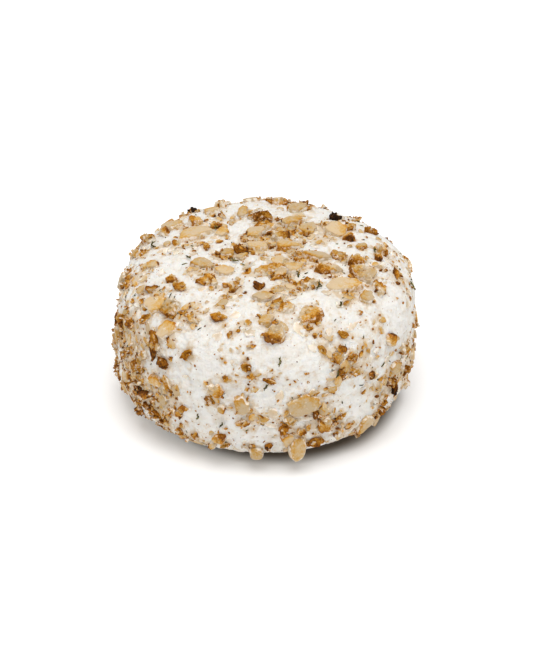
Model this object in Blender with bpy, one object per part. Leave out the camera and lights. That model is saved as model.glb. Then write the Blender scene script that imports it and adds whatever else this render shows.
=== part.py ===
"""A small round fresh goat cheese, rolled in chopped walnuts and standing on its flat base.

The cheese is a drum with full shoulders and a tucked foot. The larger walnut pieces are fused to
its skin, so the whole food is one solid. Metres, +Z up, origin on the base under the middle.
"""

from math import cos, pi, radians, sin
from random import Random

import bmesh
import bpy
from mathutils import Matrix, Vector, noise

MM = 0.001

# The drum
RADIUS = 32.5 * MM
RISE = 20.0 * MM
DROP = 16.9 * MM
BASE_TRIM = 0.9 * MM
SHOULDER_POWER = 4.2
FOOT_POWER = 3.6
LEAN = 0.8 * MM
MIDDLE = DROP - BASE_TRIM
HEIGHT = MIDDLE + RISE

# Its hand-shaped unevenness: a slow swell and smaller dents
SWELL_SIZE, SWELL_HEIGHT = 26.0 * MM, 0.55 * MM
DENT_SIZE, DENT_HEIGHT = 7.0 * MM, 0.22 * MM

# Mesh of the drum
ROUND_STEPS, SLOPE_STEPS = 56, 26

# The walnut pieces large enough to know by sight. A kernel is a smooth pale flake, a chunk a broken lump
# with brown on it, a skin a rough brown chip, and a dark a scorched, almost black one.
# Each is (azimuth, slope, length in mm, width in mm, turn). Azimuth 0 is the front and 90 the right.
# Slope is the angle up from the widest level, seen from the middle. Turn is from the level direction.
KERNELS = (
    (-123, 36, 5.0, 3.8, 125), (-117, 48, 9.8, 4.4, 151), (-129, 58, 3.2, 2.4, 160),
    (-91, 22, 4.4, 2.6, 90), (-56, 30, 4.9, 4.4, 60), (-69, 30, 2.8, 2.2, 80),
    (-43, 25, 4.8, 3.6, 60), (-69, 53, 4.8, 3.6, 60), (-84, 67, 3.6, 3.2, 80),
    (-60, 73, 3.0, 2.4, 90), (-120, 82, 5.4, 5.0, 100), (-162, 68, 4.4, 3.8, 30),
    (-172, 35, 3.6, 1.6, 0), (36, 65, 4.6, 4.0, 50), (75, 61, 6.8, 3.4, -75),
    (71, 39, 3.4, 2.9, 0), (54, 34, 3.8, 3.3, 0), (51, 43, 7.6, 4.8, -50),
    (122, 47, 5.6, 4.8, -60), (136, 56, 5.2, 4.4, -70), (161, 42, 5.0, 3.6, 60),
    (156, 55, 5.0, 3.4, -150), (112, 78, 4.8, 4.2, 60), (-163, 48, 4.4, 2.4, -107),
    (97, 43, 3.0, 2.2, -90), (0, 36, 3.4, 2.8, 10), (-2, 47, 4.4, 2.8, 5),
    (-147, 40, 3.6, 3.0, 0), (-46, 58, 4.2, 3.2, 40), (26, 74, 4.4, 3.6, -20),
    (14, 4, 8.6, 4.7, 14), (-8, 4, 5.0, 3.4, 88), (9, -12, 3.8, 3.0, 80),
    (-45, 4, 3.8, 3.0, 10), (-41, -3, 3.2, 2.6, 80), (42, -15, 4.8, 3.6, 60),
    (49, -17, 3.2, 2.4, 90), (77, -3, 3.0, 2.4, 90), (57, 3, 4.0, 3.4, 80),
    (-68, -12, 2.6, 1.8, 80), (-76, 8, 3.4, 2.0, 90), (-84, 36, 3.0, 2.2, 60),
)
CHUNKS = (
    (-130, 43, 3.9, 3.3, 110), (-48, 32, 5.0, 4.2, 40), (-46, 49, 4.4, 3.6, 20),
    (-64, 40, 2.8, 2.2, 80), (-34, 32, 3.4, 1.8, -5), (82, 52, 3.9, 3.0, -80),
    (79, 45, 4.4, 3.5, -60), (66, 41, 5.8, 3.6, -110), (64, 34, 3.8, 3.1, -110),
    (172, 37, 3.6, 2.8, 0), (108, 46, 3.4, 2.4, -90), (33, 51, 3.9, 3.1, -20),
    (21, 36, 6.6, 4.8, 10), (11, 41, 3.9, 3.2, -20), (3, 31, 5.0, 3.8, 10),
    (6, 43, 3.2, 2.6, 30), (5, 66, 7.0, 3.2, 0), (57, 53, 6.0, 2.8, -50),
    (54, 17, 3.4, 2.8, 80), (35, 12, 2.6, 2.0, 20), (-51, -5, 2.8, 2.3, 60),
    (-18, 9, 3.9, 3.2, 10), (-16, 2, 2.4, 2.1, 90), (-8, -4, 3.0, 2.0, 0),
    (-17, -13, 3.2, 2.4, 90), (9, -3, 2.8, 2.2, 10), (150, 74, 4.4, 3.4, 40),
    (-178, 62, 4.4, 3.2, 10), (23, -7, 4.4, 3.4, 80), (-52, 12, 2.6, 2.2, 60),
    (-58, 4, 3.0, 2.2, 80), (-62, -3, 2.8, 2.2, 70), (64, 8, 3.2, 2.4, 80),
)
SKINS = (
    (-47, 19, 6.3, 2.3, -78), (-23, 35, 3.6, 2.2, 15), (-24, 49, 2.6, 1.9, 60),
    (-65, 33, 3.0, 1.9, 70), (-81, 26, 2.6, 1.8, -70), (-54, 40, 3.2, 2.2, 40),
    (-99, 56, 2.8, 1.7, 20), (-104, 43, 2.4, 1.7, 40), (-82, 62, 2.2, 1.6, 20),
    (70, 71, 2.8, 1.6, 80), (14, 60, 4.4, 1.6, 5), (20, -15, 3.8, 2.3, 0),
    (117, 35, 3.0, 2.0, -120), (94, 36, 3.2, 2.2, 30), (81, 31, 3.4, 1.4, 30),
    (88, 38, 3.0, 1.8, 30), (32, 27, 2.6, 1.9, -40), (27, 20, 3.2, 2.2, -80),
    (33, 18, 3.0, 1.6, -20), (25, -7, 2.6, 1.8, -60), (7, -6, 2.8, 2.4, 40),
    (14, -9, 2.6, 1.8, -10), (50, -7, 4.2, 1.7, 80), (58, -6, 3.4, 1.6, 60),
    (-53, 6, 3.4, 1.7, -60), (-39, 6, 4.0, 1.4, -70), (-31, 20, 3.0, 1.9, 70),
    (-7, 20, 2.6, 2.4, 20), (-63, 19, 3.2, 2.4, 80), (-72, 16, 3.0, 2.0, 80),
    (-56, 24, 3.0, 1.8, 70), (-50, -10, 3.2, 2.0, -25), (-34, -15, 2.6, 1.9, -60),
    (-15, -16, 2.6, 1.4, 10), (-32, -3, 2.4, 1.9, 60), (68, -4, 3.2, 1.8, 70),
)
DARKS = (
    (-142, 33, 2.3, 2.1, 0), (137, 41, 3.2, 2.6, 40), (-84, 74, 4.2, 3.2, 30),
    (-175, 55, 5.2, 3.0, 10), (-6, 53, 2.6, 2.1, 0), (-41, 13, 3.5, 2.2, -20),
    (-44, -11, 2.9, 1.7, -25), (-58, -17, 2.6, 2.1, 20), (19, -2, 2.8, 1.5, 85),
    (43, 8, 2.4, 1.7, 80), (50, -12, 2.6, 1.8, 70), (2, -15, 2.4, 1.4, 10),
)
# Kernels that hang off the foot: the same five values
HANGING = ((13, -17, 6.6, 4.0, 80), (-3, -20, 3.5, 3.3, 90), (-20, -18, 1.9, 1.6, 80))
HANG_OUT, HANG_LEVEL, HANG_UP = 0.7 * MM, 3.0, 1.2

# The rest is scattered in loose clumps, fewer on the bare patches and more on the crowded ones.
# Each patch is (azimuth, slope, size in degrees, how many times the usual number lies there).
SEED = 41
SCATTERED = 900
SHORTEST, LONGEST, LONGEST_IN_FRONT = 0.7, 4.2, 1.9
FRONT = Vector((0.0, -0.84, 0.54))
CLUMP_SIZE, CLEAREST, DENSEST = 6.0 * MM, 0.25, 1.8
PATCHES = (
    (8, 25, 17, 0.1), (-24, 24, 14, 0.2), (62, 26, 12, 0.12), (118, 34, 13, 0.3),
    (-18, -6, 13, 0.6), (36, -3, 10, 0.5), (-68, 4, 26, 3.2), (-50, -12, 16, 2.6),
    (70, 0, 18, 2.2), (60, -10, 12, 1.8), (-150, 75, 34, 1.3), (150, 55, 26, 1.3),
    (60, 48, 24, 1.2), (20, 40, 14, 1.2), (-155, 10, 22, 1.8), (130, -4, 20, 1.8),
    (168, 14, 16, 0.2), (-112, 0, 14, 0.3), (32, 18, 10, 1.8), (20, -10, 12, 1.6),
)
LOWEST_SLOPE = -23.0
PIECES_APART = 0.42

# The build of each kind: number of sides, how far it stands out in mm, its share of slant, and its
# rings above the root. A ring is (share of the radius, share of the standing height).
KINDS = {
    "kernel": (6, 0.95, 1.0, ((0.80, 0.90),), 1.0),
    "hanging": (8, 1.25, 0.4, ((0.82, 0.95),), 1.05),
    "chunk": (5, 1.20, 1.2, ((0.66, 0.85),), 1.15),
    "skin": (5, 0.90, 1.6, ((0.80, 1.0),), 0.95),
    "dark": (5, 1.40, 1.8, ((0.72, 0.90),), 1.1),
}
ROOT_DEPTH, ROOT_SHARE = 0.8 * MM, 1.06
SLANT = radians(11)
FUSED_PIECES = 245
FLOOR_GAP = 0.25 * MM


def direction_of(azimuth, slope):
    """Unit vector from the middle of the cheese, for angles in radians."""
    return Vector((cos(slope) * sin(azimuth), -cos(slope) * cos(azimuth), sin(slope)))


def skin_point(direction):
    """Where this direction from the middle meets the skin of the cheese."""
    rise, power = (RISE, SHOULDER_POWER) if direction.z >= 0 else (DROP, FOOT_POWER)
    across = Vector(direction[:2]).length / RADIUS
    reach = (across**power + abs(direction.z / rise) ** power) ** (-1 / power)
    swell = SWELL_HEIGHT * noise.noise(direction * reach / SWELL_SIZE + Vector((3, 1, 4)))
    dent = DENT_HEIGHT * noise.noise(direction * reach / DENT_SIZE + Vector((1, 5, 9)))
    point = direction * (reach + swell + dent)
    point.z = max(point.z + MIDDLE, 0)
    point.x += LEAN * (point.z / HEIGHT - 0.5)
    return point


def seat(direction):
    """(point, level direction, uphill direction, outward normal) of the skin there."""
    level = Vector((-direction.y, direction.x, 0)).normalized()
    uphill = direction.cross(level).normalized()
    step = 0.02
    point = skin_point(direction)
    along = skin_point((direction + step * level).normalized()) - point
    over = skin_point((direction + step * uphill).normalized()) - point
    normal = along.cross(over).normalized()
    level = (along - normal * along.dot(normal)).normalized()
    return point, level, normal.cross(level), normal


def crowding(direction):
    """How densely pieces lie here, 1 being the usual number."""
    clump = noise.noise(direction * RADIUS / CLUMP_SIZE + Vector((2, 7, 1)))
    share = CLEAREST + (DENSEST - CLEAREST) * min(1, max(0, clump * 1.6 + 0.45))
    for azimuth, slope, size, times in PATCHES:
        away = direction.angle(direction_of(radians(azimuth), radians(slope))) / radians(size)
        share *= 1 + (times - 1) * max(0, 1 - away * away)
    return share


def chosen_pieces():
    """The pieces with places of their own, as (kind, direction, length, width, turn)."""
    groups = {"kernel": KERNELS, "chunk": CHUNKS, "skin": SKINS, "dark": DARKS, "hanging": HANGING}
    return [
        (kind, direction_of(radians(azimuth), radians(slope)), length * MM, width * MM, radians(turn))
        for kind, rows in groups.items()
        for azimuth, slope, length, width, turn in rows
    ]


def scattered_pieces(taken):
    """Seeded random pieces over the skin, clear of the middles of those already there."""
    rng = Random(SEED)
    made = []
    spots = [(skin_point(piece[1]), piece[2]) for piece in taken]
    while len(made) < SCATTERED:
        direction = direction_of(rng.uniform(-pi, pi), 0)
        direction.z = rng.uniform(-1, 1)
        direction.xy *= (1 - direction.z**2) ** 0.5
        point, _, _, normal = seat(direction)
        area = (point - Vector((0, 0, MIDDLE))).length_squared / max(normal.dot(direction), 0.3)
        wanted = area / (2 * RADIUS**2) * crowding(direction) / 4
        size = rng.random()
        kind = rng.choices(("kernel", "chunk", "skin", "dark"), (0.32, 0.24, 0.38, 0.06))[0]
        width_share, turn = rng.uniform(0.45, 0.85), rng.uniform(0, pi)
        if rng.random() > wanted or direction.z < sin(radians(LOWEST_SLOPE)):
            continue
        longest = LONGEST_IN_FRONT if direction.dot(FRONT) > 0.1 else LONGEST
        length = (SHORTEST + (longest - SHORTEST) * size**2.2) * MM
        if kind in ("skin", "dark"):
            length *= 0.8
        if any((point - spot).length < PIECES_APART * (length + other) / 2 for spot, other in spots):
            continue
        spots.append((point, length))
        made.append((kind, direction, length, length * width_share, turn))
    return made


def largest_first(pieces):
    return sorted(pieces, key=lambda piece: -piece[2] * piece[3])


def make_cheese_body():
    """The drum: a sphere primitive with its points moved out to the skin."""
    bm = bmesh.new()
    bmesh.ops.create_uvsphere(bm, u_segments=ROUND_STEPS, v_segments=SLOPE_STEPS, radius=1)
    for vertex in bm.verts:
        vertex.co = skin_point(vertex.co.normalized())
    mesh = bpy.data.meshes.new("walnut_goat_cheese")
    bm.to_mesh(mesh)
    bm.free()
    return bpy.data.objects.new("walnut_goat_cheese", mesh)


def make_piece(number, kind, direction, length, width, turn):
    """One walnut piece: rings of points from a root in the skin to a tip, with an uneven rim."""
    rng = Random(SEED + number)
    sides, stand, slant, rings, tip = KINDS[kind]
    stand *= MM * min(1.4, 0.4 + length / (5 * MM)) * rng.uniform(0.85, 1.15)
    rim = [rng.uniform(0.8, 1.12) for _ in range(sides)]
    lean = Vector((rng.uniform(-1, 1), rng.uniform(-1, 1), 0)) * SLANT * slant
    point, level, uphill, normal = seat(direction)
    root = ROOT_DEPTH
    if kind == "hanging":
        # It hangs down past the tucked foot.
        outward = Vector((direction.x, direction.y, 0)).normalized()
        normal = (normal + outward * HANG_LEVEL + Vector((0, 0, HANG_UP))).normalized()
        uphill = normal.cross(level)
        point += outward * HANG_OUT
        root += HANG_OUT
    axes = Matrix((level, uphill, normal)).transposed() @ Matrix.Rotation(turn, 3, "Z")
    axes = axes @ Matrix.Rotation(lean.x, 3, "X") @ Matrix.Rotation(lean.y, 3, "Y")

    def placed(x, y, height):
        spot = point + axes @ Vector((x * length / 2, y * width / 2, height))
        return bm.verts.new((spot.x, spot.y, max(spot.z, FLOOR_GAP)))

    bm = bmesh.new()
    loops = []
    for share, height in ((ROOT_SHARE, -root / stand), *rings):
        loop = []
        for index, swing in enumerate(rim):
            angle = 2 * pi * index / sides
            reach = share * swing * rng.uniform(0.94, 1.06)
            rise = stand * height * (rng.uniform(0.8, 1.1) if height > 0 else 1)
            loop.append(placed(reach * cos(angle), reach * sin(angle), rise))
        loops.append(loop)
    top = placed(rng.uniform(-0.15, 0.15), rng.uniform(-0.15, 0.15), stand * tip)
    bm.faces.new(reversed(loops[0]))
    for index in range(sides):
        after = (index + 1) % sides
        for below, above in zip(loops, loops[1:]):
            bm.faces.new((below[index], below[after], above[after], above[index]))
        bm.faces.new((loops[-1][index], loops[-1][after], top))
    mesh = bpy.data.meshes.new(f"{kind}_{number:03d}")
    bm.to_mesh(mesh)
    bm.free()
    return bpy.data.objects.new(mesh.name, mesh)


def keep_the_main_shell(mesh):
    """Drops what isn't joined to the largest shell: loose scraps, and hollows sealed inside."""
    bm = bmesh.new()
    bm.from_mesh(mesh)
    waiting = set(bm.faces)
    shells = []
    while waiting:
        shell = set()
        search = [waiting.pop()]
        while search:
            face = search.pop()
            shell.add(face)
            found = {other for edge in face.edges for other in edge.link_faces} & waiting
            search += found
            waiting -= found
        shells.append(shell)
    main_shell = max(shells, key=len)
    bmesh.ops.delete(bm, geom=[f for f in bm.faces if f not in main_shell], context="FACES")
    bm.to_mesh(mesh)
    bm.free()


def fuse(body, collection):
    """Joins every piece to the body with one Boolean, applies it and removes the pieces."""
    union = body.modifiers.new("walnut pieces", "BOOLEAN")
    union.operation = "UNION"
    union.operand_type = "COLLECTION"
    union.collection = collection
    union.solver = "EXACT"
    bpy.context.view_layer.update()
    evaluated = body.evaluated_get(bpy.context.evaluated_depsgraph_get())
    joined = bpy.data.meshes.new_from_object(evaluated)
    body.modifiers.remove(union)
    body.data = joined
    keep_the_main_shell(joined)
    for piece in list(collection.objects):
        bpy.data.objects.remove(piece)
    bpy.data.collections.remove(collection)


def cheese_material():
    """White curd, matt and a little warm."""
    material = bpy.data.materials.new("goat_curd_with_walnuts")
    material.use_nodes = True
    shader = material.node_tree.nodes["Principled BSDF"]
    shader.inputs["Base Color"].default_value = (0.88, 0.80, 0.68, 1)
    shader.inputs["Roughness"].default_value = 0.6
    shader.inputs["Metallic"].default_value = 0.0
    return material


def main():
    for obj in list(bpy.data.objects):
        bpy.data.objects.remove(obj)
    model = bpy.data.collections.new("Walnut goat cheese")
    pieces = bpy.data.collections.new("Walnut pieces")
    for collection in (model, pieces):
        bpy.context.scene.collection.children.link(collection)

    body = make_cheese_body()
    model.objects.link(body)
    chosen = chosen_pieces()
    walnuts = largest_first(chosen + scattered_pieces(chosen))[:FUSED_PIECES]
    for number, walnut in enumerate(walnuts):
        pieces.objects.link(make_piece(number, *walnut))
    fuse(body, pieces)

    body.data.materials.clear()
    body.data.materials.append(cheese_material())


main()
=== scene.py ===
"""The looks of the walnut goat cheese: its curd, its walnut pieces, crumbs and herbs, and the studio.

The walnut pieces stand where the solid has them: the same places, sizes and seeds are used here.
Metres, +Z up, origin on the base under the middle of the cheese.
"""

from math import cos, pi, radians, sin
from random import Random

import bpy
import numpy as np
from mathutils import Matrix, Vector, kdtree, noise


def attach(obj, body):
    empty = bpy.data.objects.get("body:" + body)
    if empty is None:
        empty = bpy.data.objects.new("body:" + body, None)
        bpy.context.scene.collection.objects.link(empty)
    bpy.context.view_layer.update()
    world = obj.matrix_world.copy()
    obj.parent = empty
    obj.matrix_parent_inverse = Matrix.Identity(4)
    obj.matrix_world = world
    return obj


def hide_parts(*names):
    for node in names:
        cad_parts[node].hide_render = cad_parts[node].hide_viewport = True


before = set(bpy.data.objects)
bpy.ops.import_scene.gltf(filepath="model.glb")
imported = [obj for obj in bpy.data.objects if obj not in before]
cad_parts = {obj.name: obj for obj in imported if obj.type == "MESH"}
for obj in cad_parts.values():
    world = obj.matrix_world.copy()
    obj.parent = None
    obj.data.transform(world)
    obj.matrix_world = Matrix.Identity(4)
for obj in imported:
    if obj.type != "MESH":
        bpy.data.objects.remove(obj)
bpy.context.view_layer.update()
NODE = "walnut_goat_cheese"

MM = 0.001

# The drum
RADIUS = 32.5 * MM
RISE = 20.0 * MM
DROP = 16.9 * MM
BASE_TRIM = 0.9 * MM
SHOULDER_POWER = 4.2
FOOT_POWER = 3.6
LEAN = 0.8 * MM
MIDDLE = DROP - BASE_TRIM
HEIGHT = MIDDLE + RISE

# Its hand-shaped unevenness: a slow swell and smaller dents
SWELL_SIZE, SWELL_HEIGHT = 26.0 * MM, 0.55 * MM
DENT_SIZE, DENT_HEIGHT = 7.0 * MM, 0.22 * MM

# The walnut pieces large enough to know by sight. A kernel is a smooth pale flake, a chunk a broken lump
# with brown on it, a skin a rough brown chip, and a dark a scorched, almost black one.
# Each is (azimuth, slope, length in mm, width in mm, turn). Azimuth 0 is the front and 90 the right.
# Slope is the angle up from the widest level, seen from the middle. Turn is from the level direction.
KERNELS = (
    (-123, 36, 5.0, 3.8, 125), (-117, 48, 9.8, 4.4, 151), (-129, 58, 3.2, 2.4, 160),
    (-91, 22, 4.4, 2.6, 90), (-56, 30, 4.9, 4.4, 60), (-69, 30, 2.8, 2.2, 80),
    (-43, 25, 4.8, 3.6, 60), (-69, 53, 4.8, 3.6, 60), (-84, 67, 3.6, 3.2, 80),
    (-60, 73, 3.0, 2.4, 90), (-120, 82, 5.4, 5.0, 100), (-162, 68, 4.4, 3.8, 30),
    (-172, 35, 3.6, 1.6, 0), (36, 65, 4.6, 4.0, 50), (75, 61, 6.8, 3.4, -75),
    (71, 39, 3.4, 2.9, 0), (54, 34, 3.8, 3.3, 0), (51, 43, 7.6, 4.8, -50),
    (122, 47, 5.6, 4.8, -60), (136, 56, 5.2, 4.4, -70), (161, 42, 5.0, 3.6, 60),
    (156, 55, 5.0, 3.4, -150), (112, 78, 4.8, 4.2, 60), (-163, 48, 4.4, 2.4, -107),
    (97, 43, 3.0, 2.2, -90), (0, 36, 3.4, 2.8, 10), (-2, 47, 4.4, 2.8, 5),
    (-147, 40, 3.6, 3.0, 0), (-46, 58, 4.2, 3.2, 40), (26, 74, 4.4, 3.6, -20),
    (14, 4, 8.6, 4.7, 14), (-8, 4, 5.0, 3.4, 88), (9, -12, 3.8, 3.0, 80),
    (-45, 4, 3.8, 3.0, 10), (-41, -3, 3.2, 2.6, 80), (42, -15, 4.8, 3.6, 60),
    (49, -17, 3.2, 2.4, 90), (77, -3, 3.0, 2.4, 90), (57, 3, 4.0, 3.4, 80),
    (-68, -12, 2.6, 1.8, 80), (-76, 8, 3.4, 2.0, 90), (-84, 36, 3.0, 2.2, 60),
)
CHUNKS = (
    (-130, 43, 3.9, 3.3, 110), (-48, 32, 5.0, 4.2, 40), (-46, 49, 4.4, 3.6, 20),
    (-64, 40, 2.8, 2.2, 80), (-34, 32, 3.4, 1.8, -5), (82, 52, 3.9, 3.0, -80),
    (79, 45, 4.4, 3.5, -60), (66, 41, 5.8, 3.6, -110), (64, 34, 3.8, 3.1, -110),
    (172, 37, 3.6, 2.8, 0), (108, 46, 3.4, 2.4, -90), (33, 51, 3.9, 3.1, -20),
    (21, 36, 6.6, 4.8, 10), (11, 41, 3.9, 3.2, -20), (3, 31, 5.0, 3.8, 10),
    (6, 43, 3.2, 2.6, 30), (5, 66, 7.0, 3.2, 0), (57, 53, 6.0, 2.8, -50),
    (54, 17, 3.4, 2.8, 80), (35, 12, 2.6, 2.0, 20), (-51, -5, 2.8, 2.3, 60),
    (-18, 9, 3.9, 3.2, 10), (-16, 2, 2.4, 2.1, 90), (-8, -4, 3.0, 2.0, 0),
    (-17, -13, 3.2, 2.4, 90), (9, -3, 2.8, 2.2, 10), (150, 74, 4.4, 3.4, 40),
    (-178, 62, 4.4, 3.2, 10), (23, -7, 4.4, 3.4, 80), (-52, 12, 2.6, 2.2, 60),
    (-58, 4, 3.0, 2.2, 80), (-62, -3, 2.8, 2.2, 70), (64, 8, 3.2, 2.4, 80),
)
SKINS = (
    (-47, 19, 6.3, 2.3, -78), (-23, 35, 3.6, 2.2, 15), (-24, 49, 2.6, 1.9, 60),
    (-65, 33, 3.0, 1.9, 70), (-81, 26, 2.6, 1.8, -70), (-54, 40, 3.2, 2.2, 40),
    (-99, 56, 2.8, 1.7, 20), (-104, 43, 2.4, 1.7, 40), (-82, 62, 2.2, 1.6, 20),
    (70, 71, 2.8, 1.6, 80), (14, 60, 4.4, 1.6, 5), (20, -15, 3.8, 2.3, 0),
    (117, 35, 3.0, 2.0, -120), (94, 36, 3.2, 2.2, 30), (81, 31, 3.4, 1.4, 30),
    (88, 38, 3.0, 1.8, 30), (32, 27, 2.6, 1.9, -40), (27, 20, 3.2, 2.2, -80),
    (33, 18, 3.0, 1.6, -20), (25, -7, 2.6, 1.8, -60), (7, -6, 2.8, 2.4, 40),
    (14, -9, 2.6, 1.8, -10), (50, -7, 4.2, 1.7, 80), (58, -6, 3.4, 1.6, 60),
    (-53, 6, 3.4, 1.7, -60), (-39, 6, 4.0, 1.4, -70), (-31, 20, 3.0, 1.9, 70),
    (-7, 20, 2.6, 2.4, 20), (-63, 19, 3.2, 2.4, 80), (-72, 16, 3.0, 2.0, 80),
    (-56, 24, 3.0, 1.8, 70), (-50, -10, 3.2, 2.0, -25), (-34, -15, 2.6, 1.9, -60),
    (-15, -16, 2.6, 1.4, 10), (-32, -3, 2.4, 1.9, 60), (68, -4, 3.2, 1.8, 70),
)
DARKS = (
    (-142, 33, 2.3, 2.1, 0), (137, 41, 3.2, 2.6, 40), (-84, 74, 4.2, 3.2, 30),
    (-175, 55, 5.2, 3.0, 10), (-6, 53, 2.6, 2.1, 0), (-41, 13, 3.5, 2.2, -20),
    (-44, -11, 2.9, 1.7, -25), (-58, -17, 2.6, 2.1, 20), (19, -2, 2.8, 1.5, 85),
    (43, 8, 2.4, 1.7, 80), (50, -12, 2.6, 1.8, 70), (2, -15, 2.4, 1.4, 10),
)
# Kernels that hang off the foot: the same five values
HANGING = ((13, -17, 6.6, 4.0, 80), (-3, -20, 3.5, 3.3, 90), (-20, -18, 1.9, 1.6, 80))
HANG_OUT, HANG_LEVEL, HANG_UP = 0.7 * MM, 3.0, 1.2

# The rest is scattered in loose clumps, fewer on the bare patches and more on the crowded ones.
# Each patch is (azimuth, slope, size in degrees, how many times the usual number lies there).
SEED = 41
SCATTERED = 900
SHORTEST, LONGEST, LONGEST_IN_FRONT = 0.7, 4.2, 1.9
FRONT = Vector((0.0, -0.84, 0.54))
CLUMP_SIZE, CLEAREST, DENSEST = 6.0 * MM, 0.25, 1.8
PATCHES = (
    (8, 25, 17, 0.1), (-24, 24, 14, 0.2), (62, 26, 12, 0.12), (118, 34, 13, 0.3),
    (-18, -6, 13, 0.6), (36, -3, 10, 0.5), (-68, 4, 26, 3.2), (-50, -12, 16, 2.6),
    (70, 0, 18, 2.2), (60, -10, 12, 1.8), (-150, 75, 34, 1.3), (150, 55, 26, 1.3),
    (60, 48, 24, 1.2), (20, 40, 14, 1.2), (-155, 10, 22, 1.8), (130, -4, 20, 1.8),
    (168, 14, 16, 0.2), (-112, 0, 14, 0.3), (32, 18, 10, 1.8), (20, -10, 12, 1.6),
)
LOWEST = sin(radians(-23))
PIECES_APART = 0.42

# The build of each kind: number of sides, how far it stands out in mm, and its share of slant
KINDS = {
    "kernel": (6, 0.95, 1.0),
    "hanging": (8, 1.25, 0.4),
    "chunk": (5, 1.20, 1.2),
    "skin": (5, 0.90, 1.6),
    "dark": (5, 1.40, 1.8),
}
ROOT_DEPTH = 0.8 * MM
SLANT = radians(11)
FUSED_PIECES = 245
FLOOR_GAP = 0.25 * MM


def direction_of(azimuth, slope):
    """Unit vector from the middle of the cheese, for angles in radians."""
    return Vector((cos(slope) * sin(azimuth), -cos(slope) * cos(azimuth), sin(slope)))


def skin_point(direction):
    """Where this direction from the middle meets the skin of the cheese."""
    rise, power = (RISE, SHOULDER_POWER) if direction.z >= 0 else (DROP, FOOT_POWER)
    across = Vector(direction[:2]).length / RADIUS
    reach = (across**power + abs(direction.z / rise) ** power) ** (-1 / power)
    swell = SWELL_HEIGHT * noise.noise(direction * reach / SWELL_SIZE + Vector((3, 1, 4)))
    dent = DENT_HEIGHT * noise.noise(direction * reach / DENT_SIZE + Vector((1, 5, 9)))
    point = direction * (reach + swell + dent)
    point.z = max(point.z + MIDDLE, 0)
    point.x += LEAN * (point.z / HEIGHT - 0.5)
    return point


def seat(direction):
    """(point, level direction, uphill direction, outward normal) of the skin there."""
    level = Vector((-direction.y, direction.x, 0)).normalized()
    uphill = direction.cross(level).normalized()
    step = 0.02
    point = skin_point(direction)
    along = skin_point((direction + step * level).normalized()) - point
    over = skin_point((direction + step * uphill).normalized()) - point
    normal = along.cross(over).normalized()
    level = (along - normal * along.dot(normal)).normalized()
    return point, level, normal.cross(level), normal


def crowding(direction):
    """How densely pieces lie here, 1 being the usual number."""
    clump = noise.noise(direction * RADIUS / CLUMP_SIZE + Vector((2, 7, 1)))
    share = CLEAREST + (DENSEST - CLEAREST) * min(1, max(0, clump * 1.6 + 0.45))
    for azimuth, slope, size, times in PATCHES:
        away = direction.angle(direction_of(radians(azimuth), radians(slope))) / radians(size)
        share *= 1 + (times - 1) * max(0, 1 - away * away)
    return share


def chosen_pieces():
    """The pieces with places of their own, as (kind, direction, length, width, turn)."""
    groups = {"kernel": KERNELS, "chunk": CHUNKS, "skin": SKINS, "dark": DARKS, "hanging": HANGING}
    return [
        (kind, direction_of(radians(azimuth), radians(slope)), length * MM, width * MM, radians(turn))
        for kind, rows in groups.items()
        for azimuth, slope, length, width, turn in rows
    ]


def random_way(rng):
    """A random direction, spread evenly over a sphere."""
    direction = direction_of(rng.uniform(-pi, pi), 0)
    direction.z = rng.uniform(-1, 1)
    direction.xy *= (1 - direction.z**2) ** 0.5
    return direction


def scattered_pieces(taken):
    """Seeded random pieces over the skin, clear of the middles of those already there."""
    rng = Random(SEED)
    made = []
    spots = [(skin_point(piece[1]), piece[2]) for piece in taken]
    while len(made) < SCATTERED:
        direction = random_way(rng)
        point, _, _, normal = seat(direction)
        area = (point - Vector((0, 0, MIDDLE))).length_squared / max(normal.dot(direction), 0.3)
        wanted = area / (2 * RADIUS**2) * crowding(direction) / 4
        size = rng.random()
        kind = rng.choices(("kernel", "chunk", "skin", "dark"), (0.32, 0.24, 0.38, 0.06))[0]
        width_share, turn = rng.uniform(0.45, 0.85), rng.uniform(0, pi)
        if rng.random() > wanted or direction.z < LOWEST:
            continue
        longest = LONGEST_IN_FRONT if direction.dot(FRONT) > 0.1 else LONGEST
        length = (SHORTEST + (longest - SHORTEST) * size**2.2) * MM
        if kind in ("skin", "dark"):
            length *= 0.8
        if any((point - spot).length < PIECES_APART * (length + other) / 2 for spot, other in spots):
            continue
        spots.append((point, length))
        made.append((kind, direction, length, length * width_share, turn))
    return made


def largest_first(pieces):
    return sorted(pieces, key=lambda piece: -piece[2] * piece[3])


# The curd's mesh: points around, rows over, and samples of its profile to space the rows by
AROUND, OVER, PROFILE_SAMPLES = 420, 200, 2001
# Its relief. A smear is stretched level, and both it and the creases wander with a slow warp.
WARP_SIZE, WARP_SHARE = 6 * MM, 0.6
CREASE_SIZE, CREASE_HEIGHT = 2.8 * MM, 0.40 * MM
SMEAR_SIZE, SMEAR_HEIGHT = 1.2 * MM, 0.24 * MM
SMEAR_SQUEEZE = (0.8, 0.8, 1.6)
GRAIN_SIZE, GRAIN_HEIGHT = 0.55 * MM, 0.035 * MM
# The curd pressed up round each piece: its height, where it is highest and how wide it is, the last two
# as shares of the piece's radius, and a width that every piece has
COLLAR_HEIGHT, COLLAR_PLACE, COLLAR_SHARE, COLLAR_WIDTH = 0.16 * MM, 1.05, 0.4, 0.6 * MM
# How far from a piece's middle its nut dust goes, as a share of its radius and for every piece
STAIN_SHARE, STAIN_WIDTH = 1.6, 0.5 * MM
# No collar and no dust go farther from a piece's middle than this
PIECE_REACH = 4.5 * MM
# How dusty the curd is beside a piece and where pieces crowd, the crowding that is dustiest, and how
# steeply the dust thins below it
DUST_FROM_PIECES, DUST_FROM_CROWD, DUSTY_CROWD, DUST_POWER = 0.5, 1.15, 5, 1.6
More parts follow.
